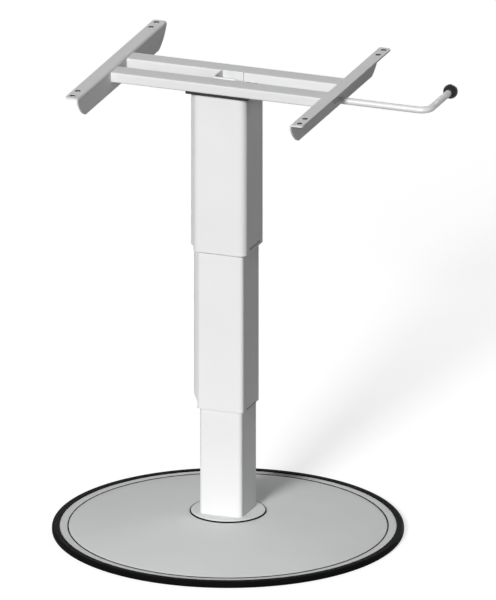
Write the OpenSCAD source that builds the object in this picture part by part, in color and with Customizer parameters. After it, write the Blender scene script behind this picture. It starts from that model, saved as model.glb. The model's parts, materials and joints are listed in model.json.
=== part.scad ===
// Pedestal table frame: a round weighted base, a square column in three stages, and a top frame
// of two rails and two angle brackets. A bent lever at the right releases the lock inside the column.
// Millimetres, +Z up. X runs along the rails, Y along the brackets. Shown fully raised.

/* [Base] */
// diameter of the base over its rubber rim
base_d = 500; // [420:5:600]
// width of the rubber rim seen from above
rim_w = 11; // [9:0.5:16]
// height of the rubber rim
rim_h = 9.5; // [9:0.25:13]
// thickness of the steel base plate
base_plate_t = 5; // [4:0.5:6]
// width of the flat ring between rim and dome
ring_w = 12; // [6:1:24]
// rise of the dome from the flat ring to its middle
dome_rise = 24; // [18:1:34]
// sheet thickness of the dome
dome_t = 1.5; // [1:0.25:2]
// diameter of the collar round the foot of the column
collar_d = 107; // [102:1:130]
// height of the collar above the dome
collar_h = 3.3; // [2.5:0.1:8]

/* [Column] */
// width of the lower tube
lower_w = 64; // [62:1:72]
// wall of the lower tube
lower_wall = 3; // [2:0.25:3.5]
// wall of the middle tube
middle_wall = 1.7; // [1.5:0.1:2.5]
// wall of the upper tube
upper_wall = 2.5; // [1.5:0.25:4]
// outer corner radius of the lower and middle tubes
tube_r = 5.5; // [4.5:0.5:8]
// outer corner radius of the upper tube
upper_r = 10.5; // [8:0.5:12]
// thickness of the guides between lower and middle tube
thin_guide_t = 1.05; // [0.8:0.05:1.6]
// thickness of the guides between middle and upper tube
thick_guide_t = 2.75; // [2:0.05:3.5]
// free space beside a guide that slides
slide_clear = 0.25; // [0.2:0.05:0.4]
// length of the lower tube seen above the collar
lower_show = 157.5; // [140:0.5:200]
// length of the middle tube seen below the upper tube
middle_show = 237; // [220:1:300]
// length of the upper tube
upper_len = 238; // [225:1:300]
// length that two tubes share when fully raised
overlap = 50.5; // [48:0.5:60]
// radius of the side channel on the left of the middle tube
channel_r = 20.1; // [17:0.1:22]
// how far the channel centre lies inside the tube face
channel_inset = 5; // [3:0.5:8]

/* [Top frame] */
// width and depth of the plate on the column
top_plate_w = 95; // [92:1:110]
// thickness of that plate
top_plate_t = 3; // [2.5:0.5:5]
// width of a rail
rail_w = 30; // [26:1:30]
// height of a rail
rail_h = 15; // [12:1:20]
// wall of a rail
rail_wall = 1.5; // [1:0.25:2.5]
// length of a rail, which is the space between the brackets
rail_len = 320; // [260:2:420]
// length of a bracket
bracket_len = 360; // [300:1:460]
// height of a bracket's upright web
bracket_h = 34; // [32:1:40]
// width of a bracket's flat flange
bracket_w = 20; // [18:1:30]
// sheet thickness of a bracket
bracket_t = 2.5; // [2:0.5:4]
// height of the bracket tops over the rails
bracket_lift = 3.5; // [0:0.5:6]
// diameter of the screw holes in the brackets
table_hole_d = 8; // [5:0.5:9]
// distance of the outer holes from the bracket end
hole_end = 10; // [8:0.5:14]
// distance between the two holes at a bracket end
hole_pitch = 22; // [18:1:40]

/* [Lever] */
// diameter of the lever rod
lever_d = 10; // [8:0.5:11]
// distance from the column axis to the lever's bend
lever_reach = 287.5; // [250:0.5:330]
// radius of the lever's bend
lever_bend_r = 15.5; // [12:0.5:25]
// distance from the rod's axis to the middle of the knob
handle_len = 90.5; // [60:0.5:130]
// diameter of the knob
knob_d = 21; // [18:0.5:32]
// radius of the release cam
cam_r = 9; // [8.5:0.1:9.4]
// distance from the lever's axis to the cam's flat
cam_flat = 6.5; // [6.2:0.1:7]

/* [Springs] */
// outer diameter of both spring cylinders
spring_d = 22; // [18:0.5:23]
// diameter of both piston rods
spring_rod_d = 10; // [8:0.5:10]
// travel of the middle stage
middle_travel = 155; // [100:1:155]
// travel of the upper stage on the middle stage
upper_travel = 175; // [120:1:175]
// distance of the lockable spring to the right of the column axis
lock_x = 12; // [12:0.25:13]
// distance of the plain spring to the left of the column axis
lift_x = 14; // [13:0.25:15]

/* [Hidden] */
$fn = 72;
function dome_z(r) = dome_ball_z + sqrt(dome_ball_r * dome_ball_r - r * r);

// Fits: pieces that touch, round pieces that turn or slide, and free space between neighbours
seat = 0.05;
run_fit = 0.08;
clear = 0.5;

// Base
pad_t = 1.5;
pad_r = 15;
pad_ring_r = base_d * 0.38;
rim_round = 3.5;
rim_lip = 5;
rim_foot = 3;
plate_top_z = pad_t + base_plate_t;
ring_z = plate_top_z + dome_t;
base_r = base_d / 2;
plate_r = base_r - rim_lip - seat;
dome_r = base_r - rim_w - ring_w;
dome_ball_r = (dome_r * dome_r + dome_rise * dome_rise) / (2 * dome_rise);
dome_ball_z = ring_z + dome_rise - dome_ball_r;
collar_r = collar_d / 2;
collar_fit = 0.3;
collar_cover = 8;
collar_edge_w = 1.2;
collar_edge_h = 1.1;
collar_slope_w = 5.5;
collar_edge_z = dome_z(collar_r);
collar_top_z = collar_edge_z + collar_h;
flange_t = 6;
flange_corner_r = 8;
flange_out = 23;
flange_w = lower_w + 2 * flange_out;
flange_top_z = plate_top_z + flange_t;
flange_screw_r = 4;
flange_head_r = 8;
flange_head_h = 3.5;
flange_screw_in = 13;
flange_screw_xy = flange_w / 2 - flange_screw_in;

// Column
middle_w = lower_w + 2 * (middle_wall + thin_guide_t + slide_clear);
upper_w = middle_w + 2 * (upper_wall + thick_guide_t + slide_clear);
middle_in = middle_w - 2 * middle_wall;
upper_in = upper_w - 2 * upper_wall;
middle_in_r = tube_r - middle_wall;
upper_in_r = upper_r - upper_wall;
channel_x = middle_w / 2 - channel_inset;
channel_thinner = 1.3;
channel_guide_t = thick_guide_t - channel_thinner;
upper_channel_in_r = channel_r + channel_guide_t + slide_clear;
upper_channel_r = upper_channel_in_r + upper_wall;
channel_out = channel_r - channel_inset;
middle_foot_z = collar_top_z + lower_show;
upper_foot_z = middle_foot_z + middle_show;
head_z = upper_foot_z + upper_len;
lower_top_z = middle_foot_z + overlap;
middle_top_z = upper_foot_z + overlap;
foot_guide_h = 30;
top_guide_h = overlap - foot_guide_h - clear;
lip_t = 1.5;
tab_depth = 4;
upper_tab_w = 42;
upper_tab_h = 3;
upper_tab_up = 3.6;
middle_tab_w = 36;
middle_tab_h = 2;

// Top frame
top_z = head_z + top_plate_t;
plate_corner_r = 2;
rail_top_z = top_z + rail_h;
rail_y = top_plate_w / 2 - rail_w / 2;
rail_in_y = rail_y - rail_w / 2;
rail_r = 2.5;
bracket_top_z = rail_top_z + bracket_lift;
bracket_corner_r = 5;
bend_r = bracket_t + 1.5;
nose_len = 32;
nose_r = 62;
hole_x = rail_len / 2 + bend_r + (bracket_w - bend_r) / 2;
outer_hole_y = bracket_len / 2 - hole_end;
inner_hole_y = outer_hole_y - hole_pitch;
bridge_t = 3;
bridge_x = upper_in / 2 - upper_in_r;
bridge_y = 22;
rail_screw_r = 3;
rail_head_r = 5;
rail_head_h = 3.3;
rail_screw_in = 8;
rail_screw_x = bridge_x - rail_screw_in;
rail_screw_y = min(rail_y, upper_in / 2 - rail_head_r - clear);
box_t = 2;
box_x = -16;
box_len = 33.5;
box_floor_len = 13;
box_screw_x = -8.5;
box_screw_r = 2;

// Lever, release cam and pin
lever_r = lever_d / 2;
lever_drop = 2;
lever_z = top_z - lever_drop;
cam_face_z = lever_z - cam_flat;
cam_len = 10;
hub_wall = 3;
pin_r = 2;
pin_len = 50;
pin_out = 2.5;
pin_top_z = cam_face_z - seat;
rod_over_bridge = 10.5;
lock_rod_top_z = cam_face_z - pin_out;
bridge_floor_z = lock_rod_top_z - rod_over_bridge;
cam_room = 1;
slot_w = 2 * (cam_r + cam_room);
slot_end_x = 0;
bearing_in = 10;
bearing_x = lock_x + bearing_in;
bearing_end_x = upper_in / 2 - clear;
bearing_flange_t = 2;
bearing_flange_len = 17;
bearing_edge_y = rail_in_y - clear;
bearing_screw_r = 1.5;
bearing_head_r = 3;
bearing_head_h = 1.5;
bearing_screw_in = 8;
bearing_screw_x = bearing_x + bearing_screw_in;
bearing_screw_y = bearing_edge_y - bearing_head_r - clear / 2;
bush_wall = 1;
bush_r = lever_r + bush_wall;
bush_rim_t = 2.5;
cam_pin_r = 1.5;
cam_pin_in = 2.6;
cam_pin_x = bearing_x - cam_pin_in;
stop_x = upper_w / 2 + clear;
stop_len = 7;
stop_screw_r = 1.5;

// Springs and what holds them
rod_r = spring_rod_d / 2;
spring_r = spring_d / 2;
spring_wall = 1.5;
spring_in_r = spring_r - spring_wall;
spring_foot_t = 4;
gland_h = 8;
piston_h = 6;
stud_less = 1;
stud_r = rod_r - stud_less;
neck_wall = 2;
neck_r = rod_r + neck_wall;
nut_h = 5;
stud_nut_w = 13;
rod_nut_w = 17;
neck_nut_w = 19;
carrier_t = 4;
carrier_side_t = 3;
carrier_drop = 29;
carrier_top_z = middle_top_z - carrier_drop;
carrier_low_z = carrier_top_z - carrier_t;
carrier_x = 27;
carrier_screw_r = 2;
carrier_head_r = 4;
carrier_head_h = 2;
carrier_screw_x = 17;
carrier_screw_drop = 11;
carrier_screw_z = middle_top_z - carrier_screw_drop;
stud_past = 1.5;
stud_h = carrier_t + nut_h + stud_past;
lock_spare = 45;
lock_low_z = carrier_low_z - upper_travel - lock_spare;
lift_stud = 13.5;
lift_low_z = flange_top_z + lift_stud;
lift_spare = 6;
lift_top_z = carrier_low_z - middle_travel - lift_spare;

// Shapes shared by several pieces

// rectangle with round corners, centred
module round_rect(w, d, r) {
  square([w - 2 * r, d], center = true);
  square([w, d - 2 * r], center = true);
  for (x = [-1, 1])
    for (y = [-1, 1])
      translate([x * (w / 2 - r), y * (d / 2 - r)])
        circle(r = r);
}

// tube outline with the round side channel on its left
module channel_shape(w, r, round_r) {
  round_rect(w, w, r);
  translate([-channel_x, 0])
    circle(r = round_r);
}

module middle_outside(extra) {
  channel_shape(middle_w + 2 * extra, tube_r + extra, channel_r + extra);
}

module middle_inside(less) {
  channel_shape(middle_in - 2 * less, middle_in_r - less, channel_r - middle_wall - less);
}

module upper_inside(less) {
  channel_shape(upper_in - 2 * less, upper_in_r - less, upper_channel_in_r - less);
}

// the 45 degree cut that ends the middle tube's channel short of its foot
module channel_cut() {
  out = channel_out + 5;
  translate([-middle_w / 2, middle_w / 2, middle_foot_z])
    rotate([90, 0, 0])
      linear_extrude(middle_w)
        polygon([[0, -1], [0, 0], [-out, out], [-out, -1]]);
}

// lies along +X from the origin
module x_bar(r, len) {
  rotate([0, 90, 0])
    cylinder(r = r, h = len);
}

module hex_nut(across, h, hole_r) {
  difference() {
    cylinder(d = across / cos(30), h = h, $fn = 6);
    translate([0, 0, -1])
      cylinder(r = hole_r, h = h + 2);
  }
}

// countersunk screw with a hexagon socket, head up at the origin, pointing down
module sunk_screw(r, head_r, head_h, len) {
  difference() {
    union() {
      translate([0, 0, -head_h])
        cylinder(r1 = r, r2 = head_r, h = head_h);
      translate([0, 0, -len])
        cylinder(r = r, h = len);
    }
    translate([0, 0, -head_h * 0.7])
      cylinder(r = r * 0.72, h = head_h, $fn = 6);
  }
}

// the matching hole, with a little room
module sunk_hole(r, head_r, head_h, len) {
  translate([0, 0, -head_h])
    cylinder(r1 = r + seat, r2 = head_r + seat, h = head_h);
  translate([0, 0, -len])
    cylinder(r = r + seat, h = len);
  translate([0, 0, -0.001])
    cylinder(r = head_r + seat, h = 2);
}

// Base

module rim_ring() {
  color([0.06, 0.06, 0.06])
    rotate_extrude($fn = 180)
      difference() {
        union() {
          translate([base_r - rim_w, pad_t])
            square([rim_w - rim_round, rim_h - pad_t]);
          translate([base_r - rim_w - rim_foot, 0])
            square([rim_w + rim_foot - rim_round, rim_h - rim_round]);
          for (z = [rim_round, rim_h - rim_round])
            translate([base_r - rim_round, z])
              circle(r = rim_round);
          translate([base_r - rim_lip, rim_round])
            square([rim_lip, rim_h - 2 * rim_round]);
        }
        translate([0, pad_t])
          square([base_r - rim_lip, ring_z - pad_t]);
      }
}

module base_plate() {
  color([0.35, 0.36, 0.37])
    difference() {
      translate([0, 0, pad_t + seat])
        cylinder(r = plate_r, h = base_plate_t - seat, $fn = 180);
      for (x = [-1, 1])
        for (y = [-1, 1])
          translate([x * flange_screw_xy, y * flange_screw_xy, pad_t + seat])
            rotate([180, 0, 0])
              sunk_hole(flange_screw_r, flange_head_r, flange_head_h, base_plate_t + 2);
    }
}

// six pads near the rim and one under the column
module floor_pads() {
  color([0.1, 0.1, 0.1]) {
    cylinder(r = pad_r, h = pad_t);
    for (a = [0:60:300])
      rotate([0, 0, a])
        translate([pad_ring_r, 0, 0])
          cylinder(r = pad_r, h = pad_t);
  }
}

module dome_cover() {
  color([0.8, 0.81, 0.81]) {
    difference() {
      translate([0, 0, plate_top_z])
        cylinder(r = plate_r, h = dome_t - seat, $fn = 180);
      translate([0, 0, plate_top_z - 1])
        cylinder(r = dome_r - 0.5, h = dome_t + 2, $fn = 180);
    }
    rotate_extrude($fn = 180)
      intersection() {
        difference() {
          translate([0, dome_ball_z])
            circle(r = dome_ball_r, $fn = 1440);
          translate([0, dome_ball_z])
            circle(r = dome_ball_r - dome_t, $fn = 1440);
        }
        translate([collar_r - collar_cover, plate_top_z])
          square([dome_r - collar_r + collar_cover, dome_rise + 5]);
      }
  }
}

module foot_flange() {
  color([0.45, 0.46, 0.47])
    difference() {
      translate([0, 0, plate_top_z])
        linear_extrude(flange_t)
          round_rect(flange_w, flange_w, flange_corner_r);
      for (x = [-1, 1])
        for (y = [-1, 1])
          translate([x * flange_screw_xy, y * flange_screw_xy, plate_top_z - 1])
            cylinder(r = flange_screw_r + seat, h = flange_t + 2);
      translate([-lift_x, 0, plate_top_z - 1])
        cylinder(r = rod_r + seat, h = flange_t + 2);
    }
}

module flange_screws() {
  screw_len = base_plate_t + flange_t - 1;
  color([0.6, 0.6, 0.62])
    for (x = [-1, 1])
      for (y = [-1, 1])
        translate([x * flange_screw_xy, y * flange_screw_xy, pad_t + seat])
          rotate([180, 0, 0])
            sunk_screw(flange_screw_r, flange_head_r, flange_head_h, screw_len);
}

module tube_collar() {
  hole_w = lower_w + 2 * collar_fit;
  inner_r = hole_w / 2 - 2;
  color([0.8, 0.81, 0.81])
    difference() {
      rotate_extrude($fn = 144)
        polygon([[inner_r, dome_z(inner_r) + 2 * seat], [collar_r, collar_edge_z + seat],
          [collar_r, collar_top_z - 2 * collar_edge_h],
          [collar_r - collar_edge_w, collar_top_z - collar_edge_h],
          [collar_r - collar_slope_w, collar_top_z], [inner_r, collar_top_z]]);
      translate([0, 0, plate_top_z])
        linear_extrude(collar_top_z)
          round_rect(hole_w, hole_w, tube_r + collar_fit);
    }
}

module lower_tube() {
  color([0.84, 0.85, 0.85])
    translate([0, 0, flange_top_z])
      linear_extrude(lower_top_z - flange_top_z)
        difference() {
          round_rect(lower_w, lower_w, tube_r);
          round_rect(lower_w - 2 * lower_wall, lower_w - 2 * lower_wall, tube_r - lower_wall);
        }
}

module lower_top_guide() {
  color([0.15, 0.15, 0.15])
    difference() {
      translate([0, 0, lower_top_z - top_guide_h])
        linear_extrude(top_guide_h + lip_t)
          round_rect(middle_in - 2 * slide_clear, middle_in - 2 * slide_clear, middle_in_r + 1);
      translate([0, 0, lower_top_z - top_guide_h - 1])
        linear_extrude(top_guide_h + 1 + seat)
          round_rect(lower_w + 2 * seat, lower_w + 2 * seat, tube_r + seat);
      translate([0, 0, lower_top_z - 1])
        linear_extrude(lip_t + 2)
          round_rect(lower_w - 2 * lower_wall, lower_w - 2 * lower_wall, tube_r - lower_wall);
    }
}

// Springs

// pressure tube, closed at the foot, with a gland for its rod at the top
module spring_tube(low_z, high_z) {
  difference() {
    translate([0, 0, low_z])
      cylinder(r = spring_r, h = high_z - low_z);
    translate([0, 0, low_z + spring_foot_t])
      cylinder(r = spring_in_r, h = high_z - low_z - spring_foot_t - gland_h);
    translate([0, 0, high_z - gland_h - 1])
      cylinder(r = rod_r + run_fit, h = gland_h + 2);
  }
}

module lift_cylinder() {
  color([0.2, 0.2, 0.21])
    translate([-lift_x, 0, 0]) {
      spring_tube(lift_low_z, lift_top_z);
      translate([0, 0, plate_top_z + 0.5])
        cylinder(r = rod_r, h = lift_low_z - plate_top_z);
    }
}

module lift_foot_nut() {
  color([0.6, 0.6, 0.62])
    translate([-lift_x, 0, flange_top_z])
      hex_nut(rod_nut_w, nut_h, rod_r + seat);
}

module lift_rod() {
  piston_z = lift_top_z - gland_h - 1 - piston_h;
  color([0.7, 0.7, 0.72])
    translate([-lift_x, 0, 0]) {
      translate([0, 0, piston_z])
        cylinder(r = spring_in_r - run_fit, h = piston_h);
      translate([0, 0, piston_z])
        cylinder(r = rod_r, h = carrier_low_z - piston_z);
      translate([0, 0, carrier_low_z - 0.1])
        cylinder(r = stud_r, h = stud_h + 0.1);
    }
}

module lift_rod_nut() {
  color([0.6, 0.6, 0.62])
    translate([-lift_x, 0, carrier_top_z])
      hex_nut(stud_nut_w, nut_h, stud_r + seat);
}

module lock_cylinder() {
  color([0.2, 0.2, 0.21])
    translate([lock_x, 0, 0]) {
      spring_tube(lock_low_z, carrier_low_z);
      difference() {
        translate([0, 0, carrier_low_z - 0.1])
          cylinder(r = neck_r, h = stud_h + 0.1);
        translate([0, 0, carrier_low_z - 1])
          cylinder(r = rod_r + run_fit, h = stud_h + 2);
      }
    }
}

module lock_cylinder_nut() {
  color([0.6, 0.6, 0.62])
    translate([lock_x, 0, carrier_top_z])
      hex_nut(neck_nut_w, nut_h, neck_r + seat);
}

module lock_rod() {
  piston_z = carrier_low_z - gland_h - 1 - piston_h;
  color([0.7, 0.7, 0.72])
    translate([lock_x, 0, 0])
      difference() {
        union() {
          translate([0, 0, piston_z])
            cylinder(r = spring_in_r - run_fit, h = piston_h);
          translate([0, 0, piston_z])
            cylinder(r = rod_r, h = lock_rod_top_z - piston_z);
        }
        translate([0, 0, lock_rod_top_z - pin_len - 4])
          cylinder(r = pin_r + run_fit, h = pin_len + 5);
      }
}

module lock_rod_nuts() {
  color([0.6, 0.6, 0.62])
    for (z = [bridge_floor_z - nut_h, bridge_floor_z + bridge_t])
      translate([lock_x, 0, z])
        hex_nut(rod_nut_w, nut_h, rod_r + seat);
}

module release_pin() {
  color([0.75, 0.75, 0.77])
    translate([lock_x, 0, lock_rod_top_z - pin_len])
      cylinder(r = pin_r, h = pin_top_z - lock_rod_top_z + pin_len);
}

// Middle stage

module middle_tube() {
  color([0.84, 0.85, 0.85])
    difference() {
      translate([0, 0, middle_foot_z])
        linear_extrude(middle_top_z - middle_foot_z)
          difference() {
            middle_outside(0);
            middle_inside(0);
          }
      channel_cut();
      translate([middle_w / 2 - tab_depth - 1, -middle_tab_w / 2, middle_foot_z - 1])
        cube([2 * tab_depth, middle_tab_w, middle_tab_h + 1]);
      carrier_holes(carrier_screw_r + run_fit);
    }
}

// runs on the lower tube, its tab shows in a notch at the foot of the right face
module middle_bottom_guide() {
  color([0.22, 0.22, 0.23])
    difference() {
      union() {
        translate([0, 0, middle_foot_z])
          linear_extrude(foot_guide_h)
            middle_inside(seat);
        translate([middle_w / 2 - tab_depth, -middle_tab_w / 2 + seat, middle_foot_z])
          cube([tab_depth, middle_tab_w - 2 * seat, middle_tab_h - seat]);
      }
      translate([0, 0, middle_foot_z - 1])
        linear_extrude(foot_guide_h + 2)
          round_rect(lower_w + 2 * slide_clear, lower_w + 2 * slide_clear, tube_r + slide_clear);
      channel_cut();
    }
}

module middle_top_guide() {
  color([0.15, 0.15, 0.15])
    difference() {
      translate([0, 0, middle_top_z - top_guide_h])
        linear_extrude(top_guide_h + lip_t)
          upper_inside(slide_clear);
      translate([0, 0, middle_top_z - top_guide_h - 1])
        linear_extrude(top_guide_h + 1 + seat)
          middle_outside(seat);
      translate([0, 0, middle_top_z - 1])
        linear_extrude(lip_t + 2)
          middle_inside(0);
      carrier_holes(carrier_screw_r + run_fit);
      at_carrier_screws()
        sunk_hole(carrier_screw_r, carrier_head_r, carrier_head_h, 2 * carrier_head_h);
    }
}

// two cross holes, front to rear, for the screws that hold the spring carrier
module carrier_holes(r) {
  for (x = [-1, 1])
    translate([x * carrier_screw_x, 0, carrier_screw_z])
      rotate([90, 0, 0])
        cylinder(r = r, h = upper_w, center = true);
}

// the places of their four heads, a little below the guide's face
module at_carrier_screws() {
  for (x = [-1, 1])
    for (s = [-1, 1])
      translate([x * carrier_screw_x, s * (upper_in / 2 - slide_clear - 2 * seat), carrier_screw_z])
        rotate([-90 * s, 0, 0])
          children();
}

module spring_carrier() {
  wide = middle_in - 2 * seat;
  color([0.55, 0.56, 0.57])
    difference() {
      union() {
        translate([-carrier_x, -wide / 2, carrier_low_z])
          cube([2 * carrier_x, wide, carrier_t]);
        for (s = [-1, 1])
          translate([-carrier_x, (s * (wide - carrier_side_t) - carrier_side_t) / 2, carrier_low_z])
            cube([2 * carrier_x, carrier_side_t, middle_top_z - 2 * lip_t - carrier_low_z]);
      }
      translate([lock_x, 0, carrier_low_z - 1])
        cylinder(r = neck_r + seat, h = carrier_t + 2);
      translate([-lift_x, 0, carrier_low_z - 1])
        cylinder(r = stud_r + seat, h = carrier_t + 2);
      carrier_holes(carrier_screw_r + seat);
    }
}

module carrier_screws() {
  color([0.6, 0.6, 0.62])
    at_carrier_screws()
      sunk_screw(carrier_screw_r, carrier_head_r, carrier_head_h, 5 * carrier_head_h);
}

// Upper stage

module upper_tube() {
  color([0.84, 0.85, 0.85])
    difference() {
      translate([0, 0, upper_foot_z])
        linear_extrude(upper_len)
          difference() {
            channel_shape(upper_w, upper_r, upper_channel_r);
            upper_inside(0);
          }
      translate([upper_w / 2 - tab_depth - 1, -upper_tab_w / 2, upper_foot_z + upper_tab_up])
        cube([2 * tab_depth, upper_tab_w, upper_tab_h]);
      translate([upper_in / 2 - 1, -lever_r - 1, lever_z - lever_r - 1])
        cube([upper_wall + 2, lever_d + 2, lever_d + 2]);
    }
}

// runs on the middle tube, its tab shows in a window near the foot of the right face
module upper_bottom_guide() {
  tab_z = upper_foot_z + upper_tab_up + seat;
  color([0.22, 0.22, 0.23])
    difference() {
      union() {
        translate([0, 0, upper_foot_z])
          linear_extrude(foot_guide_h)
            upper_inside(seat);
        translate([upper_w / 2 - tab_depth, -upper_tab_w / 2 + seat, tab_z])
          cube([tab_depth, upper_tab_w - 2 * seat, upper_tab_h - 2 * seat]);
      }
      translate([0, 0, upper_foot_z - 1])
        linear_extrude(foot_guide_h + 2)
          middle_outside(slide_clear);
    }
}

module top_plate() {
  color([0.2, 0.2, 0.21])
    difference() {
      translate([0, 0, head_z])
        linear_extrude(top_plate_t) {
          round_rect(top_plate_w, top_plate_w, plate_corner_r);
          translate([-channel_x, 0])
            circle(r = upper_channel_r + 0.5);
        }
      translate([slot_end_x, -slot_w / 2, head_z - 1])
        cube([top_plate_w, slot_w, top_plate_t + 2]);
      for (x = [-1, 1])
        for (s = [-1, 1])
          translate([x * rail_screw_x, s * rail_screw_y, head_z - 1])
            cylinder(r = rail_screw_r + 0.2, h = top_plate_t + 2);
      for (s = [-1, 1])
        translate([bearing_screw_x, s * bearing_screw_y, head_z - 1])
          cylinder(r = bearing_screw_r + seat, h = top_plate_t + 2);
      translate([box_screw_x, 0, head_z - 1])
        cylinder(r = box_screw_r + seat, h = top_plate_t + 2);
    }
}

// hat-shaped sheet under the plate that holds the lockable spring's rod
module spring_bridge() {
  side_h = head_z - bridge_floor_z;
  edge_y = upper_in / 2 - seat;
  color([0.55, 0.56, 0.57])
    difference() {
      translate([-bridge_x, 0, bridge_floor_z])
        rotate([90, 0, 90])
          linear_extrude(2 * bridge_x) {
            translate([-bridge_y, 0])
              square([2 * bridge_y, bridge_t]);
            for (s = [-1, 1]) {
              translate([s * (bridge_y - bridge_t / 2) - bridge_t / 2, 0])
                square([bridge_t, side_h]);
              translate([s > 0 ? bridge_y - bridge_t : -edge_y, side_h - bridge_t])
                square([edge_y - bridge_y + bridge_t, bridge_t]);
            }
          }
      translate([lock_x, 0, bridge_floor_z - 1])
        cylinder(r = rod_r + seat, h = bridge_t + 2);
      for (x = [-1, 1])
        for (s = [-1, 1])
          translate([x * rail_screw_x, s * rail_screw_y, head_z - bridge_t - 1])
            cylinder(r = rail_screw_r + 0.2, h = bridge_t + 2);
    }
}

module rail_screws() {
  color([0.6, 0.6, 0.62])
    for (x = [-1, 1])
      for (s = [-1, 1])
        translate([x * rail_screw_x, s * rail_screw_y, head_z - bridge_t])
          difference() {
            union() {
              translate([0, 0, -rail_head_h])
                cylinder(r = rail_head_r, h = rail_head_h);
              cylinder(r = rail_screw_r, h = bridge_t + top_plate_t + rail_wall + 5);
            }
            translate([0, 0, -rail_head_h - 1])
              cylinder(r = 2, h = 3, $fn = 6);
          }
}

module rail(y) {
  difference() {
    translate([-rail_len / 2, y, top_z + rail_h / 2])
      rotate([90, 0, 90])
        linear_extrude(rail_len)
          difference() {
            round_rect(rail_w, rail_h, rail_r);
            round_rect(rail_w - 2 * rail_wall, rail_h - 2 * rail_wall, rail_r - rail_wall + 0.5);
          }
    for (x = [-1, 1])
      translate([x * rail_screw_x, sign(y) * rail_screw_y, top_z - 1])
        cylinder(r = rail_screw_r + seat, h = rail_wall + 2);
  }
}

module front_rail() {
  color([0.8, 0.81, 0.81])
    rail(-rail_y);
}

module rear_rail() {
  color([0.8, 0.81, 0.81])
    rail(rail_y);
}

// outline of a bracket's web: straight below, its lower corners cut by a wide arc
module web_shape() {
  far = bracket_len / 2;
  a = [far, -bend_r];
  b = [far - nose_len, -bracket_h];
  mid = (a + b) / 2;
  half = norm(a - b) / 2;
  along = (a - b) / norm(a - b);
  centre = mid + sqrt(nose_r * nose_r - half * half) * [-along[1], along[0]];
  translate([-far + nose_len, -bracket_h])
    square([bracket_len - 2 * nose_len, bracket_h - bend_r]);
  for (s = [-1, 1])
    intersection() {
      translate([s * centre[0], centre[1]])
        circle(r = nose_r, $fn = 180);
      translate([s > 0 ? far - nose_len - 1 : -far, -bracket_h])
        square([nose_len + 1, bracket_h - bend_r]);
    }
}

// angle bracket with its web's inner face at x = 0 and its flange towards +X
module bracket() {
  far = bracket_len / 2;
  difference() {
    union() {
      rotate([90, 0, 90])
        linear_extrude(bracket_t)
          web_shape();
      translate([0, far, 0])
        rotate([90, 0, 0])
          linear_extrude(bracket_len)
            difference() {
              intersection() {
                translate([bend_r, -bend_r])
                  circle(r = bend_r);
                translate([0, -bend_r])
                  square([bend_r, bend_r]);
              }
              translate([bend_r, -bend_r])
                circle(r = bend_r - bracket_t);
            }
      translate([0, 0, -bracket_t])
        linear_extrude(bracket_t) {
          translate([bend_r, -far])
            square([bracket_w - bend_r - bracket_corner_r, bracket_len]);
          translate([bend_r, -far + bracket_corner_r])
            square([bracket_w - bend_r, bracket_len - 2 * bracket_corner_r]);
          for (s = [-1, 1])
            translate([bracket_w - bracket_corner_r, s * (far - bracket_corner_r)])
              circle(r = bracket_corner_r);
        }
    }
    for (y = [outer_hole_y, inner_hole_y])
      for (s = [-1, 1])
        translate([hole_x - rail_len / 2, s * y, -bracket_t - 1])
          cylinder(d = table_hole_d, h = bracket_t + 2);
  }
}

module left_bracket() {
  color([0.8, 0.81, 0.81])
    translate([-rail_len / 2, 0, bracket_top_z])
      mirror([1, 0, 0])
        bracket();
}

module right_bracket() {
  color([0.8, 0.81, 0.81])
    difference() {
      translate([rail_len / 2, 0, bracket_top_z])
        bracket();
      translate([rail_len / 2 - 1, 0, lever_z])
        x_bar(bush_r + seat, bracket_t + 2);
    }
}

// sheet guard round the release, open at the top and at the right
module release_box() {
  wide = 2 * rail_in_y - 0.2;
  high = rail_h + 1.5;
  color([0.8, 0.81, 0.81])
    translate([0, 0, top_z])
      difference() {
        union() {
          translate([box_x, -wide / 2, 0])
            cube([box_t, wide, high]);
          for (s = [-1, 1])
            translate([box_x, (s * (wide - box_t) - box_t) / 2, 0])
              cube([box_len, box_t, high]);
          translate([box_x, -wide / 2, 0])
            cube([box_floor_len, wide, box_t]);
        }
        translate([box_screw_x, 0, -1])
          cylinder(r = box_screw_r + 0.1, h = box_t + 2);
      }
}

module box_screw() {
  color([0.6, 0.6, 0.62])
    translate([box_screw_x, 0, top_z + box_t])
      difference() {
        union() {
          cylinder(r = 3.8, h = 2.2);
          translate([0, 0, -box_t - top_plate_t - 1])
            cylinder(r = box_screw_r, h = box_t + top_plate_t + 1);
        }
        translate([0, 0, 0.8])
          cylinder(r = 1.4, h = 2, $fn = 6);
      }
}

// Lever

module lever_bush() {
  color([0.15, 0.15, 0.15])
    translate([rail_len / 2, 0, lever_z])
      difference() {
        union() {
          translate([-bush_rim_t, 0, 0])
            x_bar(bush_r + 3, bush_rim_t);
          translate([-0.1, 0, 0])
            x_bar(bush_r, bracket_t + 0.1);
        }
        translate([-4, 0, 0])
          x_bar(lever_r + run_fit, bracket_t + 8);
      }
}

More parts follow.
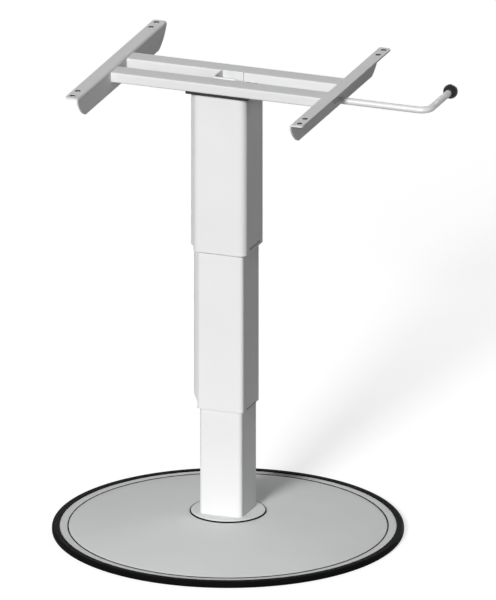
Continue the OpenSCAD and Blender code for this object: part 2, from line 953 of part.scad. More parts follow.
// block that hangs in the plate's slot and carries the lever's inner end
module lever_bearing() {
  deep = lever_r + hub_wall;
  bore_len = max(bearing_end_x - bearing_x, bearing_flange_len) + 2;
  color([0.15, 0.15, 0.15])
    difference() {
      union() {
        translate([bearing_x, -bearing_edge_y, top_z])
          cube([bearing_flange_len, 2 * bearing_edge_y, bearing_flange_t]);
        translate([bearing_x, -slot_w / 2 + 0.1, lever_z - deep])
          cube([bearing_end_x - bearing_x, slot_w - 0.2, top_z + 1 - lever_z + deep]);
        translate([bearing_x, 0, lever_z])
          x_bar(deep, bearing_end_x - bearing_x);
      }
      translate([bearing_x - 1, 0, lever_z])
        x_bar(lever_r + run_fit, bore_len);
      for (s = [-1, 1])
        translate([bearing_screw_x, s * bearing_screw_y, top_z + bearing_flange_t])
          sunk_hole(bearing_screw_r, bearing_head_r, bearing_head_h, bearing_flange_t + 2);
    }
}

module bearing_screws() {
  color([0.6, 0.6, 0.62])
    for (s = [-1, 1])
      translate([bearing_screw_x, s * bearing_screw_y, top_z + bearing_flange_t])
        sunk_screw(bearing_screw_r, bearing_head_r, bearing_head_h, bearing_flange_t + top_plate_t - seat);
}

module lever_rod() {
  x0 = lock_x - cam_len / 2 - clear;
  color([0.82, 0.83, 0.84])
    translate([0, 0, lever_z])
      difference() {
        union() {
          translate([x0, 0, 0])
            x_bar(lever_r, lever_reach - x0);
          translate([lever_reach, lever_bend_r, 0])
            rotate([0, 0, -90])
              rotate_extrude(angle = 90)
                translate([lever_bend_r, 0])
                  circle(r = lever_r);
          translate([lever_reach + lever_bend_r, lever_bend_r, 0])
            rotate([-90, 0, 0])
              cylinder(r = lever_r, h = handle_len - lever_bend_r + 1);
        }
        translate([cam_pin_x, 0, 0])
          rotate([90, 0, 0])
            cylinder(r = cam_pin_r, h = 2 * lever_d, center = true);
      }
}

module ball_knob() {
  ball_r = knob_d / 2;
  color([0.05, 0.05, 0.05])
    translate([lever_reach + lever_bend_r, handle_len, lever_z])
      rotate([-90, 0, 0])
        rotate_extrude()
          difference() {
            intersection() {
              circle(r = ball_r);
              translate([0, -ball_r + 1])
                square([ball_r, 2 * ball_r]);
            }
            translate([-1, -ball_r - 1])
              square([lever_r + seat + 1, ball_r + 2 + seat]);
          }
}

// eccentric on the lever's end, its flat rests over the release pin
module release_cam() {
  x0 = lock_x - cam_len / 2;
  color([0.5, 0.5, 0.52])
    translate([x0, 0, lever_z])
      difference() {
        union() {
          x_bar(cam_r, cam_len);
          x_bar(lever_r + hub_wall, bearing_x - x0 - clear);
        }
        translate([-1, 0, 0])
          x_bar(lever_r + seat, bearing_x - x0 + 2);
        translate([-1, -cam_r, -2 * cam_r])
          cube([cam_len + 2, 2 * cam_r, 2 * cam_r - cam_flat]);
        translate([cam_pin_x - x0, 0, 0])
          rotate([90, 0, 0])
            cylinder(r = cam_pin_r + seat, h = 4 * cam_r, center = true);
      }
}

module cam_pin() {
  color([0.6, 0.6, 0.62])
    translate([cam_pin_x, 0, lever_z])
      rotate([90, 0, 0])
        cylinder(r = cam_pin_r - seat, h = lever_d + 2 * hub_wall - 0.4, center = true);
}

module lever_collar() {
  color([0.5, 0.5, 0.52])
    translate([stop_x, 0, lever_z])
      difference() {
        x_bar(lever_r + hub_wall, stop_len);
        translate([-1, 0, 0])
          x_bar(lever_r + seat, stop_len + 2);
        translate([stop_len / 2, 0, -lever_r - 2 * hub_wall])
          cylinder(r = stop_screw_r, h = 2 * hub_wall + 1);
      }
}

module collar_screw() {
  color([0.3, 0.3, 0.31])
    translate([stop_x + stop_len / 2, 0, lever_z - lever_r - hub_wall + 2 * seat])
      difference() {
        cylinder(r = stop_screw_r - seat, h = hub_wall - 3 * seat);
        translate([0, 0, -1])
          cylinder(r = 0.8, h = 2.2, $fn = 6);
      }
}

rim_ring();
base_plate();
floor_pads();
dome_cover();
foot_flange();
flange_screws();
lower_tube();
tube_collar();
lower_top_guide();
lift_cylinder();
lift_foot_nut();
middle_tube();
middle_bottom_guide();
middle_top_guide();
spring_carrier();
carrier_screws();
lift_rod();
lift_rod_nut();
lock_cylinder();
lock_cylinder_nut();
upper_tube();
upper_bottom_guide();
top_plate();
spring_bridge();
rail_screws();
lock_rod();
lock_rod_nuts();
release_box();
box_screw();
front_rail();
rear_rail();
left_bracket();
right_bracket();
lever_bush();
lever_bearing();
bearing_screws();
lever_rod();
ball_knob();
release_cam();
cam_pin();
lever_collar();
collar_screw();
release_pin();
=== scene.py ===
import bmesh
import bpy
import json
import math
from mathutils import Matrix, Vector


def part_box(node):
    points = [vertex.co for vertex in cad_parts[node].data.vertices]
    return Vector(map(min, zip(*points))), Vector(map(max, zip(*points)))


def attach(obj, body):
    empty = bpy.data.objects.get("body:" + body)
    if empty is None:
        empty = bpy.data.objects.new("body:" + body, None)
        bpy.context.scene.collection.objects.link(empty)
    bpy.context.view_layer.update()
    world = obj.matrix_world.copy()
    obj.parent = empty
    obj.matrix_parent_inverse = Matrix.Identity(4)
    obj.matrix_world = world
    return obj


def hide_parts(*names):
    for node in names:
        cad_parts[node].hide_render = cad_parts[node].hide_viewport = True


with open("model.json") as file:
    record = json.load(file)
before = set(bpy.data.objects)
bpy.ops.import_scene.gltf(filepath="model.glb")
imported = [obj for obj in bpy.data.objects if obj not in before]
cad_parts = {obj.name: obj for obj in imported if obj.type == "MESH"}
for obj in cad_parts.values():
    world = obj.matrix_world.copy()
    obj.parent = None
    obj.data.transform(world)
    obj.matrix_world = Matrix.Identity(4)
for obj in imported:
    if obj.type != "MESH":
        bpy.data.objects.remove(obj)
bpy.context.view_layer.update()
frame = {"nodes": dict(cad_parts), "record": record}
nodes = frame["nodes"]
scene = bpy.context.scene
mm = 0.001
print("frame loaded:", len(nodes), "nodes")


# camera: the photograph shows no perspective, so this camera has none either

cameraSet = {
    "azimuth": 20.53,  # degrees round the column, 0 is the front
    "elevation": 19.14,
    "shown": 0.8511,  # metres that fit into the picture's height
    "right": 0.0283,  # the picture's middle, seen from the floor below the column
    "up": 0.3277,
    "distance": 4.0,
    "farEnd": 60,
}


def placeCamera():
    turn = math.radians(cameraSet["azimuth"])
    lift = math.radians(cameraSet["elevation"])
    flat = math.cos(lift)
    back = Vector((math.sin(turn) * flat, -math.cos(turn) * flat, math.sin(lift)))
    right = Vector((math.cos(turn), math.sin(turn), 0))
    up = back.cross(right)
    data = bpy.data.cameras.new("tableCamera")
    data.type = "ORTHO"
    data.ortho_scale = cameraSet["shown"]
    data.clip_end = cameraSet["farEnd"]
    camera = bpy.data.objects.new("tableCamera", data)
    scene.collection.objects.link(camera)
    middle = right * cameraSet["right"] + up * cameraSet["up"]
    camera.location = middle + back * cameraSet["distance"]
    camera.rotation_mode = "QUATERNION"
    camera.rotation_quaternion = (-back).to_track_quat("-Z", "Y")
    scene.camera = camera


placeCamera()
print("camera placed")


# materials: scales count per metre, bump depths are in mm

def startMaterial(name):
    made = bpy.data.materials.new(name)
    made.use_nodes = True
    tree = made.node_tree
    shader = tree.nodes["Principled BSDF"]
    place = tree.nodes.new("ShaderNodeTexCoord").outputs["Object"]
    return made, tree, shader, place


def stretched(tree, place, scale):
    mapping = tree.nodes.new("ShaderNodeMapping")
    mapping.inputs["Scale"].default_value = scale
    tree.links.new(place, mapping.inputs["Vector"])
    return mapping.outputs["Vector"]


def addNoise(tree, place, scale, detail=3.0, rough=0.55):
    noise = tree.nodes.new("ShaderNodeTexNoise")
    noise.inputs["Scale"].default_value = scale
    noise.inputs["Detail"].default_value = detail
    noise.inputs["Roughness"].default_value = rough
    tree.links.new(place, noise.inputs["Vector"])
    return noise.outputs["Fac"]


# noise stays mostly between 0.3 and 0.7, and that part is stretched to low and high
def addRange(tree, value, low, high, fromLow=0.3, fromHigh=0.7):
    ramp = tree.nodes.new("ShaderNodeMapRange")
    ramp.inputs["From Min"].default_value = fromLow
    ramp.inputs["From Max"].default_value = fromHigh
    ramp.inputs["To Min"].default_value = low
    ramp.inputs["To Max"].default_value = high
    tree.links.new(value, ramp.inputs["Value"])
    return ramp.outputs["Result"]


def addColour(tree, value, shader, first, second):
    mix = tree.nodes.new("ShaderNodeMix")
    mix.data_type = "RGBA"
    mix.inputs["A"].default_value = (*first, 1)
    mix.inputs["B"].default_value = (*second, 1)
    tree.links.new(value, mix.inputs["Factor"])
    tree.links.new(mix.outputs["Result"], shader.inputs["Base Color"])


# spread says how much smoother and rougher than rough a finish gets
def addSheen(tree, value, shader, rough, spread):
    smoother, rougher = spread
    sheen = addRange(tree, value, rough - smoother, rough + rougher)
    tree.links.new(sheen, shader.inputs["Roughness"])


def addBump(tree, height, shader, depth):
    bump = tree.nodes.new("ShaderNodeBump")
    bump.inputs["Distance"].default_value = depth * mm
    bump.inputs["Strength"].default_value = 1.0
    tree.links.new(height, bump.inputs["Height"])
    tree.links.new(bump.outputs["Normal"], shader.inputs["Normal"])


powderSet = {
    "clouds": 9,
    "cloudShade": 0.965,
    "pebbles": 620,
    "pebbleRough": 0.45,
    "roughSpread": (0.04, 0.05),
}


# baked powder paint: faint orange peel, soft clouds in its tint
def powderCoat(name, tint, rough, peel, level=0.1):
    made, tree, shader, place = startMaterial(name)
    cloud = addNoise(tree, place, powderSet["clouds"], detail=2)
    darker = [c * powderSet["cloudShade"] for c in tint]
    addColour(tree, addRange(tree, cloud, 0, 1), shader, darker, tint)
    pebbles = addNoise(tree, place, powderSet["pebbles"], detail=2, rough=powderSet["pebbleRough"])
    addSheen(tree, pebbles, shader, rough, powderSet["roughSpread"])
    addBump(tree, pebbles, shader, peel)
    shader.inputs["Specular IOR Level"].default_value = level
    return made


drawnSet = {
    "streakRough": 0.6,
    "streakShade": 0.88,
    "roughSpread": (0.06, 0.1),
}


# bare, plated or thinly lacquered metal; lines says how fine its streaks are along X, Y and Z
def drawnMetal(name, tint, rough, lines, depth, metal=1.0):
    made, tree, shader, place = startMaterial(name)
    drawn = stretched(tree, place, lines)
    streaks = addNoise(tree, drawn, scale=1, detail=4, rough=drawnSet["streakRough"])
    darker = [c * drawnSet["streakShade"] for c in tint]
    addColour(tree, addRange(tree, streaks, 0, 1), shader, darker, tint)
    addSheen(tree, streaks, shader, rough, drawnSet["roughSpread"])
    addBump(tree, streaks, shader, depth)
    shader.inputs["Metallic"].default_value = metal
    return made


mouldedSet = {
    "grainRough": 0.6,
    "clouds": 14,
    "cloudShade": 1.5,
    "cloudLift": 0.001,
    "roughSpread": (0.06, 0.08),
}


# moulded plastic or rubber with a fine spark-eroded grain
def mouldedGrain(name, tint, rough, grain, depth, level=0.5):
    made, tree, shader, place = startMaterial(name)
    speckle = addNoise(tree, place, grain, detail=4, rough=mouldedSet["grainRough"])
    cloud = addNoise(tree, place, mouldedSet["clouds"])
    lighter = [c * mouldedSet["cloudShade"] + mouldedSet["cloudLift"] for c in tint]
    addColour(tree, addRange(tree, cloud, 0, 1), shader, tint, lighter)
    addSheen(tree, speckle, shader, rough, mouldedSet["roughSpread"])
    addBump(tree, speckle, shader, depth)
    shader.inputs["Specular IOR Level"].default_value = level
    return made


zincSet = {
    "spangles": 260,
    "spangleDepth": 0.02,
    "spangleShade": 0.8,
    "spangleFrom": 0.1,
    "spangleTo": 0.5,
    "clouds": 60,
    "roughSpread": (0.05, 0.08),
}


# zinc plate: dull spangle, slightly blue
def zincPlate(name, tint, rough):
    made, tree, shader, place = startMaterial(name)
    cells = tree.nodes.new("ShaderNodeTexVoronoi")
    cells.inputs["Scale"].default_value = zincSet["spangles"]
    tree.links.new(place, cells.inputs["Vector"])
    cloud = addNoise(tree, place, zincSet["clouds"])
    mixed = tree.nodes.new("ShaderNodeMath")
    mixed.operation = "MULTIPLY"
    tree.links.new(cells.outputs["Distance"], mixed.inputs[0])
    tree.links.new(cloud, mixed.inputs[1])
    low, high = zincSet["spangleFrom"], zincSet["spangleTo"]
    darker = [c * zincSet["spangleShade"] for c in tint]
    addColour(tree, addRange(tree, mixed.outputs["Value"], 0, 1, low, high), shader, darker, tint)
    addSheen(tree, cloud, shader, rough, zincSet["roughSpread"])
    addBump(tree, cells.outputs["Distance"], shader, zincSet["spangleDepth"])
    shader.inputs["Metallic"].default_value = 1.0
    return made


finishes = {
    "column_coat": powderCoat("columnCoat", (0.86, 0.865, 0.86), rough=0.45, peel=0.06),
    "frame_coat": powderCoat("frameCoat", (0.82, 0.825, 0.82), rough=0.45, peel=0.06),
    "base_coat": powderCoat("baseCoat", (0.84, 0.85, 0.845), rough=0.55, peel=0.06, level=0.04),
    "plate_steel": powderCoat("plateCoat", (0.03, 0.03, 0.033), rough=0.5, peel=0.05, level=0.2),
    "rim_rubber": mouldedGrain(
        "rimRubber", (0.002, 0.002, 0.002), rough=0.75, grain=900, depth=0.04, level=0.04,
    ),
    "pad_rubber": mouldedGrain(
        "padRubber", (0.03, 0.03, 0.03), rough=0.75, grain=700, depth=0.06, level=0.3,
    ),
    "dark_plastic": mouldedGrain(
        "guidePlastic", (0.03, 0.03, 0.032), rough=0.48, grain=1100, depth=0.02,
    ),
    "knob_plastic": mouldedGrain(
        "knobPlastic", (0.008, 0.008, 0.008), rough=0.32, grain=900, depth=0.008, level=0.2,
    ),
    "spring_paint": powderCoat("springPaint", (0.02, 0.02, 0.022), rough=0.35, peel=0.02),
    "inner_steel": zincPlate("bridgeZinc", (0.62, 0.64, 0.67), rough=0.42),
    "zinc_steel": zincPlate("screwZinc", (0.7, 0.72, 0.75), rough=0.34),
    "rod_chrome": drawnMetal(
        "rodChrome", (0.78, 0.79, 0.8), rough=0.14, lines=(300, 300, 900), depth=0.002,
    ),
    "lever_steel": drawnMetal(
        "leverSteel", (0.78, 0.785, 0.79), rough=0.46, lines=(600, 600, 600), depth=0.002,
        metal=0.2,
    ),
}
# dark steel for the walls of the bracket holes: painted shade in the holes
holeShadeSteel = drawnMetal(
    "holeShadeSteel", (0.09, 0.09, 0.095), rough=0.5, lines=(200, 200, 1500), depth=0.01,
)
slotOf = {row["node"]: row["material_slot"] for row in frame["record"]["subparts"]}
bodyOf = {n: body for body, names in frame["record"]["behaviour"]["bodies"].items() for n in names}
for nodeName, node in nodes.items():
    node.data.materials.clear()
    node.data.materials.append(finishes[slotOf[nodeName]])
print("materials made:", len(finishes))


# makes a scene object of a bmesh, with the body and the finish of the CAD node it belongs to
def makePiece(name, bm, stoodFor, recalc=True):
    if recalc:
        bmesh.ops.recalc_face_normals(bm, faces=bm.faces)
    for face in bm.faces:
        face.smooth = True
    mesh = bpy.data.meshes.new(name)
    bm.to_mesh(mesh)
    bm.free()
    if "custom_normal" in mesh.attributes:
        mesh.attributes.remove(mesh.attributes["custom_normal"])
    piece = bpy.data.objects.new(name, mesh)
    scene.collection.objects.link(piece)
    mesh.materials.append(finishes[slotOf[stoodFor]])
    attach(piece, bodyOf[stoodFor])
    return piece


def evenNormals(piece):
    normals = piece.modifiers.new("evenNormals", "WEIGHTED_NORMAL")
    normals.keep_sharp = True
    normals.weight = 80


# CAD nodes whose hard edges get a small broken edge: node, new piece, edge width in mm
brokenEdges = [
    ("tube_collar", "columnCollar", 0.35),
    ("lower_tube", "lowerColumn", 0.35),
    ("middle_tube", "middleColumn", 0.3),
    ("upper_tube", "upperColumn", 0.35),
    ("lower_top_guide", "lowerSlideRing", 0.2),
    ("middle_bottom_guide", "middleFootRing", 0.15),
    ("upper_bottom_guide", "upperFootRing", 0.2),
    ("top_plate", "headPlate", 0.4),
    ("front_rail", "frontRail", 0.25),
    ("rear_rail", "rearRail", 0.25),
    ("left_bracket", "leftBracket", 0.45),
    ("right_bracket", "rightBracket", 0.45),
    ("release_box", "releaseGuard", 0.3),
    ("lever_bearing", "leverBearing", 0.3),
    ("lever_bush", "leverBush", 0.3),
    ("release_cam", "releaseCam", 0.2),
    ("lever_collar", "stopCollar", 0.3),
    ("base_plate", "floorPlate", 0.4),
    ("foot_flange", "columnFlange", 0.4),
]
edgeSet = {
    "joinedWithin": 0.003,  # mm, for the CAD's loose triangles
    "flatWithin": 0.25,  # degrees, up to which faces are one face
    "sharpFrom": 32,  # degrees, from which an edge is broken
    "segments": 2,
    "holeReach": 1.15,  # share of a hole's radius in which a face is its wall
    "wallTilt": 0.9,  # the most that a wall's normal may point up
}


# places and radius of the bracket holes, from the record's bolt patterns
def bracketHoles():
    spots = []
    for mount in frame["record"]["mounts"]:
        if mount["kind"] == "bolt_pattern":
            across, along = mount["dims"]["spacing_x_mm"] / 2, mount["dims"]["spacing_y_mm"] / 2
            spots += [Vector((x * across, y * along)) * mm for x in (-1, 1) for y in (-1, 1)]
            radius = mount["dims"]["hole_r_mm"] * mm
    return spots, radius


# gives the walls of the bracket holes the dark second material: painted shade
def shadeHoleWalls(bm):
    spots, radius = bracketHoles()
    for face in bm.faces:
        middle = face.calc_center_median().xy
        nearest = min((middle - spot).length for spot in spots)
        if abs(face.normal.z) < edgeSet["wallTilt"] and nearest < radius * edgeSet["holeReach"]:
            face.material_index = 1


def breakEdges(nodeName, pieceName, width):
    bm = bmesh.new()
    bm.from_mesh(nodes[nodeName].data)
    bmesh.ops.remove_doubles(bm, verts=bm.verts, dist=edgeSet["joinedWithin"] * mm)
    bmesh.ops.dissolve_limit(
        bm, angle_limit=math.radians(edgeSet["flatWithin"]), verts=bm.verts, edges=bm.edges,
    )
    sharpAngle = math.radians(edgeSet["sharpFrom"])
    sharp = [e for e in bm.edges if e.is_manifold and e.calc_face_angle(0) > sharpAngle]
    bmesh.ops.bevel(
        bm, geom=sharp, offset=width * mm, offset_type="OFFSET", segments=edgeSet["segments"],
        profile=0.5, affect="EDGES", clamp_overlap=True, material=-1,
    )
    bracket = "bracket" in nodeName
    # brackets get painted shade on their hole walls
    if bracket:
        shadeHoleWalls(bm)
    piece = makePiece(pieceName, bm, nodeName, recalc=False)
    if bracket:
        piece.data.materials.append(holeShadeSteel)
    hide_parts(nodeName)
    evenNormals(piece)


for nodeName, pieceName, width in brokenEdges:
    breakEdges(nodeName, pieceName, width)
print("edges broken:", len(brokenEdges))


# turned pieces: an outline of (radius, height) points in mm, spun round an axis

def arc(centreR, centreZ, radius, start, end, steps):
    points = []
    for i in range(steps + 1):
        a = math.radians(start + (end - start) * i / steps)
        points.append((centreR + radius * math.cos(a), centreZ + radius * math.sin(a)))
    return points


def spinOutline(points, steps):
    bm = bmesh.new()
    verts = [bm.verts.new((r * mm, 0, z * mm)) for r, z in points]
    edges = [bm.edges.new(pair) for pair in zip(verts, verts[1:])]
    edges.append(bm.edges.new((verts[-1], verts[0])))
    bmesh.ops.spin(
        bm, geom=verts + edges, cent=(0, 0, 0), axis=(0, 0, 1), dvec=(0, 0, 0),
        angle=2 * math.pi, steps=steps, use_merge=True, use_duplicate=False,
    )
    bmesh.ops.remove_doubles(bm, verts=bm.verts, dist=0.001 * mm)
    return bm


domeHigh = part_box("dome_cover")[1] / mm
domeSheet = {
    "holeR": 45.5,
    "domeR": 227.0,  # where the flat ring starts
    "rise": 24.0,
    "ringZ": 7.95,
    "edgeR": domeHigh.x,
    "edgeTurn": 0.4,
    "sheet": 1.45,
    "grooveW": 2.0,  # pressed groove between ring and dome, with a black bead in it: painted shade that darkens the crease
    "grooveDeep": 0.9,
    "grooveDraft": 0.05,
    "rings": 40,  # from the hole to the groove
    "lowRings": (215, 190, 160, 130, 100, 70),  # radii of the rings below
    "steps": 256,  # round the axis
}
grooveShadeBead = {
    "up": 0.9,
    "sunk": 0.1,
    "shoulder": 0.2,
    "round": 0.8,  # share of half its width
    "from": 10,  # degrees of its rounding
    "to": 150,
    "arcSteps": 6,
}


def domeHeight(size, r):
    ballR = (size["domeR"] ** 2 + size["rise"] ** 2) / (2 * size["rise"])
    return size["ringZ"] + size["rise"] - ballR + math.sqrt(ballR ** 2 - r * r)


def makeDome(size):
    holeR, ringZ, sheet = size["holeR"], size["ringZ"], size["sheet"]
    inner, outer = size["domeR"] - size["grooveW"] / 2, size["domeR"] + size["grooveW"] / 2
    edge, turn, draft = size["edgeR"], size["edgeTurn"], size["grooveDraft"]
    step = (inner - holeR) / size["rings"]
    top = [(holeR + step * i, domeHeight(size, holeR + step * i)) for i in range(size["rings"] + 1)]
    floor = ringZ - size["grooveDeep"]
    top += [(inner + draft, floor), (outer - draft, floor), (outer, ringZ)]
    top += [(edge - turn, ringZ), (edge, ringZ - turn)]
    low = [(edge, ringZ - sheet), (size["domeR"], ringZ - sheet)]
    low += [(r, domeHeight(size, r) - sheet) for r in (*size["lowRings"], holeR)]
    piece = makePiece("domeSheet", spinOutline(top + low, size["steps"]), "dome_cover")
    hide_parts("dome_cover")
    evenNormals(piece)


# black bead in the pressed groove: painted shade, a dark line along the crease
def makeGrooveShadeBead(size, bead):
    fold, half = size["domeR"], size["grooveW"] / 2
    turn = half * bead["round"]
    low, high = size["ringZ"] - size["grooveDeep"] - bead["sunk"], size["ringZ"] + bead["up"]
    outline = [(fold - half, low), (fold + half, low), (fold + half, size["ringZ"])]
    outline += arc(fold, high - turn, turn, bead["from"], bead["to"], bead["arcSteps"])
    outline += [(fold - half, size["ringZ"] + bead["shoulder"])]
    piece = makePiece("grooveShadeBead", spinOutline(outline, size["steps"]), "rim_ring")
    evenNormals(piece)


collarShadeRing = {
    "stand": 1.0,
    "height": 1.8,
    "inside": 4.0,
    "sunkIn": 0.6,
    "sunkOut": 0.3,
    "wall": 0.6,  # share of the height that stands upright
    "slope": 0.35,
    "steps": 144,
}


# black ring under the collar: painted shade, a thin dark line where the collar meets the dome
def makeCollarShadeRing(size):
    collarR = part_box("tube_collar")[1].x / mm
    inner, outer = collarR - size["inside"], collarR + size["stand"]
    foot = domeHeight(domeSheet, outer)
    outline = [(inner, foot - size["sunkIn"]), (outer, foot - size["sunkOut"])]
    outline += [(outer, foot + size["height"] * size["wall"])]
    outline += [(outer - size["slope"], foot + size["height"]), (inner, foot + size["height"])]
    makePiece("collarShadeRing", spinOutline(outline, size["steps"]), "rim_ring")


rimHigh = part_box("rim_ring")[1] / mm
rimTrim = {
    "outerR": rimHigh.x - 0.05,
    "topR": 239.0,
    "topTurn": 0.8,
    "footR": 236.0,
    "footFlat": 8,
    "chamfer": 0.3,
    "height": rimHigh.z,
    "round": 3.5,
    "lipTop": 8.02,
    "lipFoot": 1.5,
    "lipW": 5,
    "grooves": (0.12, 0.5),  # depth and width of the fine grooves round it
    "topGrooves": (3.2, 5.0),  # from the outer rounding inward
    "arcSteps": (8, 10, 5),  # at the foot, at the shoulder and inside
    "steps": 256,
}


def makeRim(size):
    r, h, turn, foot, cut = (size[key] for key in ("outerR", "height", "round", "footR", "chamfer"))
    deep, wide = size["grooves"]
    footSteps, shoulderSteps, innerSteps = size["arcSteps"]
    lipR, topR, topTurn = r - size["lipW"], size["topR"], size["topTurn"]
    outline = [(foot + cut, 0), (foot + size["footFlat"], 0)]
    outline += arc(r - turn, turn, turn, -90, 0, footSteps)
    outline += [(r, h / 2 - wide / 2), (r - deep, h / 2 - wide / 4)]
    outline += [(r - deep, h / 2 + wide / 4), (r, h / 2 + wide / 2)]
    outline += arc(r - turn, h - turn, turn, 0, 90, shoulderSteps)
    for inward in size["topGrooves"]:
        start = r - turn - inward
        outline += [(start, h), (start - wide / 4, h - deep)]
        outline += [(start - wide * 0.75, h - deep), (start - wide, h)]
    outline += arc(topR + topTurn, h - topTurn, topTurn, 90, 180, innerSteps)
    outline += [(topR, size["lipTop"]), (lipR, size["lipTop"]), (lipR, size["lipFoot"])]
    outline += [(foot + cut, size["lipFoot"]), (foot, size["lipFoot"] - cut), (foot, cut)]
    piece = makePiece("rimTrim", spinOutline(outline, size["steps"]), "rim_ring")
    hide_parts("rim_ring")
    evenNormals(piece)


makeDome(domeSheet)
makeGrooveShadeBead(domeSheet, grooveShadeBead)
makeCollarShadeRing(collarShadeRing)
makeRim(rimTrim)
print("base dressed")


knobLow, knobHigh = (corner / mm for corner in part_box("ball_knob"))
knobR = (knobHigh.x - knobLow.x) / 2
leverKnob = {
    "ballR": knobR,
    "boreR": 5.05,
    "boreEnd": 0.6,
    "chamfer": 0.4,
    "neck": knobLow.y - (knobHigh.y - knobR),
    "neckGap": 2.5,  # degrees between the flat neck and the ball
    "arcSteps": 56,
    "steps": 96,
    "centre": ((knobLow.x + knobHigh.x) / 2, knobHigh.y - knobR, (knobLow.z + knobHigh.z) / 2),
}


def makeKnob(size):
    r, bore, neck, cut = (size[key] for key in ("ballR", "boreR", "neck", "chamfer"))
    neckAngle = math.degrees(math.asin(neck / r)) + size["neckGap"]
    outline = [(bore, 0), (bore, neck + cut), (bore + cut, neck)]
    outline += arc(0, 0, r, neckAngle, 90, size["arcSteps"])
    outline[-1] = (0, r)
    outline += [(0, size["boreEnd"])]
    bm = spinOutline(outline, size["steps"])
    quarter = Matrix.Rotation(math.radians(-90), 3, "X")
    bmesh.ops.rotate(bm, verts=bm.verts, cent=(0, 0, 0), matrix=quarter)
    bmesh.ops.translate(bm, verts=bm.verts, vec=Vector(size["centre"]) * mm)
    piece = makePiece("leverKnob", bm, "ball_knob")
    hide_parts("ball_knob")
    evenNormals(piece)


makeKnob(leverKnob)
print("lever dressed")


# weld beads under paint: a round bead that narrows between its ripples

railWelds = {
    "radius": 1.5,
    "sides": 10,
    "pitch": 1.3,  # from one ripple to the next
    "ripple": (0.86, 0.98, 1.0),  # share of the radius along one ripple
    "proud": 0.4,
    "cornerGap": 3,
}
headWelds = {
    **railWelds,
    "radius": 1.1,
    "pitch": 1.0,
    "proud": 0.2,
    "cornerGap": 14,
    "leverGap": 9,  # free on either side of the lever
}


def moveRing(bm, verts, spot, radius, step, nextRadius):
    bmesh.ops.translate(bm, verts=verts, vec=step)
    grow = nextRadius / radius
    middle = Matrix.Translation(-(spot + step))
    bmesh.ops.scale(bm, verts=verts, vec=(grow, grow, grow), space=middle)


def layBead(bm, start, end, size):
    spot, run = Vector(start) * mm, (Vector(end) - Vector(start)) * mm
    ripples = round(run.length / mm / size["pitch"])
    radii = [size["radius"] * mm * share for share in size["ripple"] * ripples]
    step = run / len(radii)
    made = bmesh.ops.create_circle(bm, cap_ends=True, segments=size["sides"], radius=radii[0])
    ring, along = made["verts"], run.to_track_quat("Z", "Y").to_matrix()
    bmesh.ops.rotate(bm, verts=ring, cent=(0, 0, 0), matrix=along)
    bmesh.ops.translate(bm, verts=ring, vec=spot)
    edges = [e for e in bm.edges if e.verts[0] in ring and e.verts[1] in ring]
    for radius, nextRadius in zip(radii, radii[1:] + radii[:1]):
        made = bmesh.ops.extrude_edge_only(bm, edges=edges)["geom"]
        edges = [part for part in made if isinstance(part, bmesh.types.BMEdge)]
        ring = [part for part in made if isinstance(part, bmesh.types.BMVert)]
        moveRing(bm, ring, spot, radius, step, nextRadius)
        spot = spot + step
    bmesh.ops.edgeloop_fill(bm, edges=edges)


def makeRailWelds(size):
    for railName, pieceName in (("front_rail", "frontRailWelds"), ("rear_rail", "rearRailWelds")):
        low, high = (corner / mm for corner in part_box(railName))
        z = low.z - size["proud"]
        bm = bmesh.new()
        for x in (low.x + size["proud"], high.x - size["proud"]):
            layBead(bm, (x, low.y + size["cornerGap"], z), (x, high.y - size["cornerGap"], z), size)
        makePiece(pieceName, bm, railName)


def makeHeadWelds(size):
    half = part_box("upper_tube")[1].x / mm
    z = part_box("top_plate")[0].z / mm - size["proud"]
    face, near = half + size["proud"], half - size["cornerGap"]
    bm = bmesh.new()
    for side in (-1, 1):
        layBead(bm, (-near, side * face, z), (near, side * face, z), size)
        layBead(bm, (face, side * near, z), (face, side * size["leverGap"], z), size)
    makePiece("headWelds", bm, "upper_tube")


makeRailWelds(railWelds)
makeHeadWelds(headWelds)
print("welds laid")


# floor and light

floorSet = {
    "half": 14.0,
    "glow": 0.745,  # lifts the floor to white where it is seen
    "tint": (0.5, 0.5, 0.5),
    "bounceTint": (0.15, 0.15, 0.15),  # what it throws back at the object
}


# 1 where the camera, a reflection or a clear body looks, 0 for the light that falls on surfaces
def seenDirectly(tree):
    path = tree.nodes.new("ShaderNodeLightPath")
    value = path.outputs["Is Camera Ray"]
    for name in ("Is Glossy Ray", "Is Transmission Ray"):
        larger = tree.nodes.new("ShaderNodeMath")
        larger.operation = "MAXIMUM"
        tree.links.new(value, larger.inputs[0])
        tree.links.new(path.outputs[name], larger.inputs[1])
        value = larger.outputs["Value"]
    return value


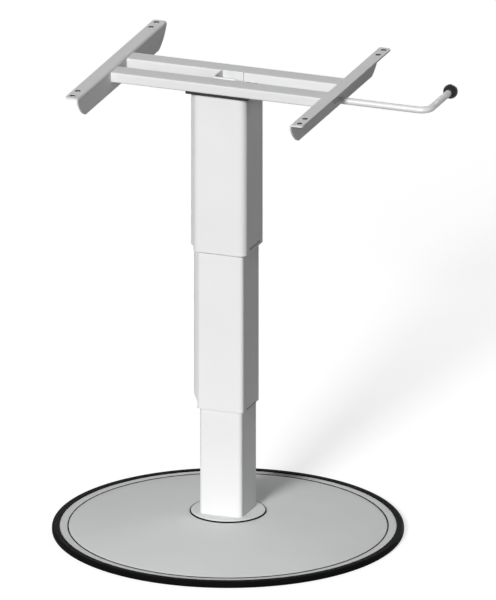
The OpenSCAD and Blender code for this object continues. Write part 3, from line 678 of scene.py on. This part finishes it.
def makeFloor(size):
    bm = bmesh.new()
    bmesh.ops.create_grid(bm, x_segments=1, y_segments=1, size=size["half"])
    mesh = bpy.data.meshes.new("studioFloor")
    bm.to_mesh(mesh)
    bm.free()
    floor = bpy.data.objects.new("studioFloor", mesh)
    scene.collection.objects.link(floor)
    made = bpy.data.materials.new("studioFloor")
    made.use_nodes = True
    tree = made.node_tree
    tree.nodes.clear()
    bounce = tree.nodes.new("ShaderNodeBsdfDiffuse")
    bounce.inputs["Color"].default_value = (*size["bounceTint"], 1)
    paint = tree.nodes.new("ShaderNodeBsdfDiffuse")
    paint.inputs["Color"].default_value = (*size["tint"], 1)
    glow = tree.nodes.new("ShaderNodeEmission")
    glow.inputs["Strength"].default_value = size["glow"]
    both = tree.nodes.new("ShaderNodeAddShader")
    tree.links.new(paint.outputs[0], both.inputs[0])
    tree.links.new(glow.outputs[0], both.inputs[1])
    mix = tree.nodes.new("ShaderNodeMixShader")
    tree.links.new(seenDirectly(tree), mix.inputs[0])
    tree.links.new(bounce.outputs[0], mix.inputs[1])
    tree.links.new(both.outputs[0], mix.inputs[2])
    out = tree.nodes.new("ShaderNodeOutputMaterial")
    tree.links.new(mix.outputs[0], out.inputs["Surface"])
    mesh.materials.append(made)


worldSet = {"fill": 0.085, "fillTint": (0.98, 0.99, 1.0)}


def makeWorld(size):
    world = bpy.data.worlds.new("studio")
    world.use_nodes = True
    scene.world = world
    tree = world.node_tree
    tree.nodes.clear()
    fill = tree.nodes.new("ShaderNodeBackground")
    fill.inputs["Color"].default_value = (*size["fillTint"], 1)
    fill.inputs["Strength"].default_value = size["fill"]
    white = tree.nodes.new("ShaderNodeBackground")
    white.inputs["Color"].default_value = (1, 1, 1, 1)
    white.inputs["Strength"].default_value = 1.0
    mix = tree.nodes.new("ShaderNodeMixShader")
    tree.links.new(seenDirectly(tree), mix.inputs[0])
    tree.links.new(fill.outputs[0], mix.inputs[1])
    tree.links.new(white.outputs[0], mix.inputs[2])
    out = tree.nodes.new("ShaderNodeOutputWorld")
    tree.links.new(mix.outputs[0], out.inputs["Surface"])


lamps = {  # where each stands, seen from the column, and its spread in degrees
    "frontLamp": {"from": (0, -0.88, 0.42), "strength": 2.96, "spread": 12},
    "sideLamp": {"from": (0.95, -0.3, 0.03), "strength": 0.28, "spread": 20},
    "backLamp": {"from": (-0.1, 0.95, 0.1), "strength": 0.9, "spread": 20},
}


def makeLamps():
    for name, lamp in lamps.items():
        data = bpy.data.lights.new(name, "SUN")
        data.energy = lamp["strength"]
        data.angle = math.radians(lamp["spread"])
        sun = bpy.data.objects.new(name, data)
        scene.collection.objects.link(sun)
        sun.rotation_mode = "QUATERNION"
        sun.rotation_quaternion = Vector(lamp["from"]).to_track_quat("Z", "Y")


makeFloor(floorSet)
makeWorld(worldSet)
makeLamps()
scene.view_settings.view_transform = "Standard"
print("studio lit")
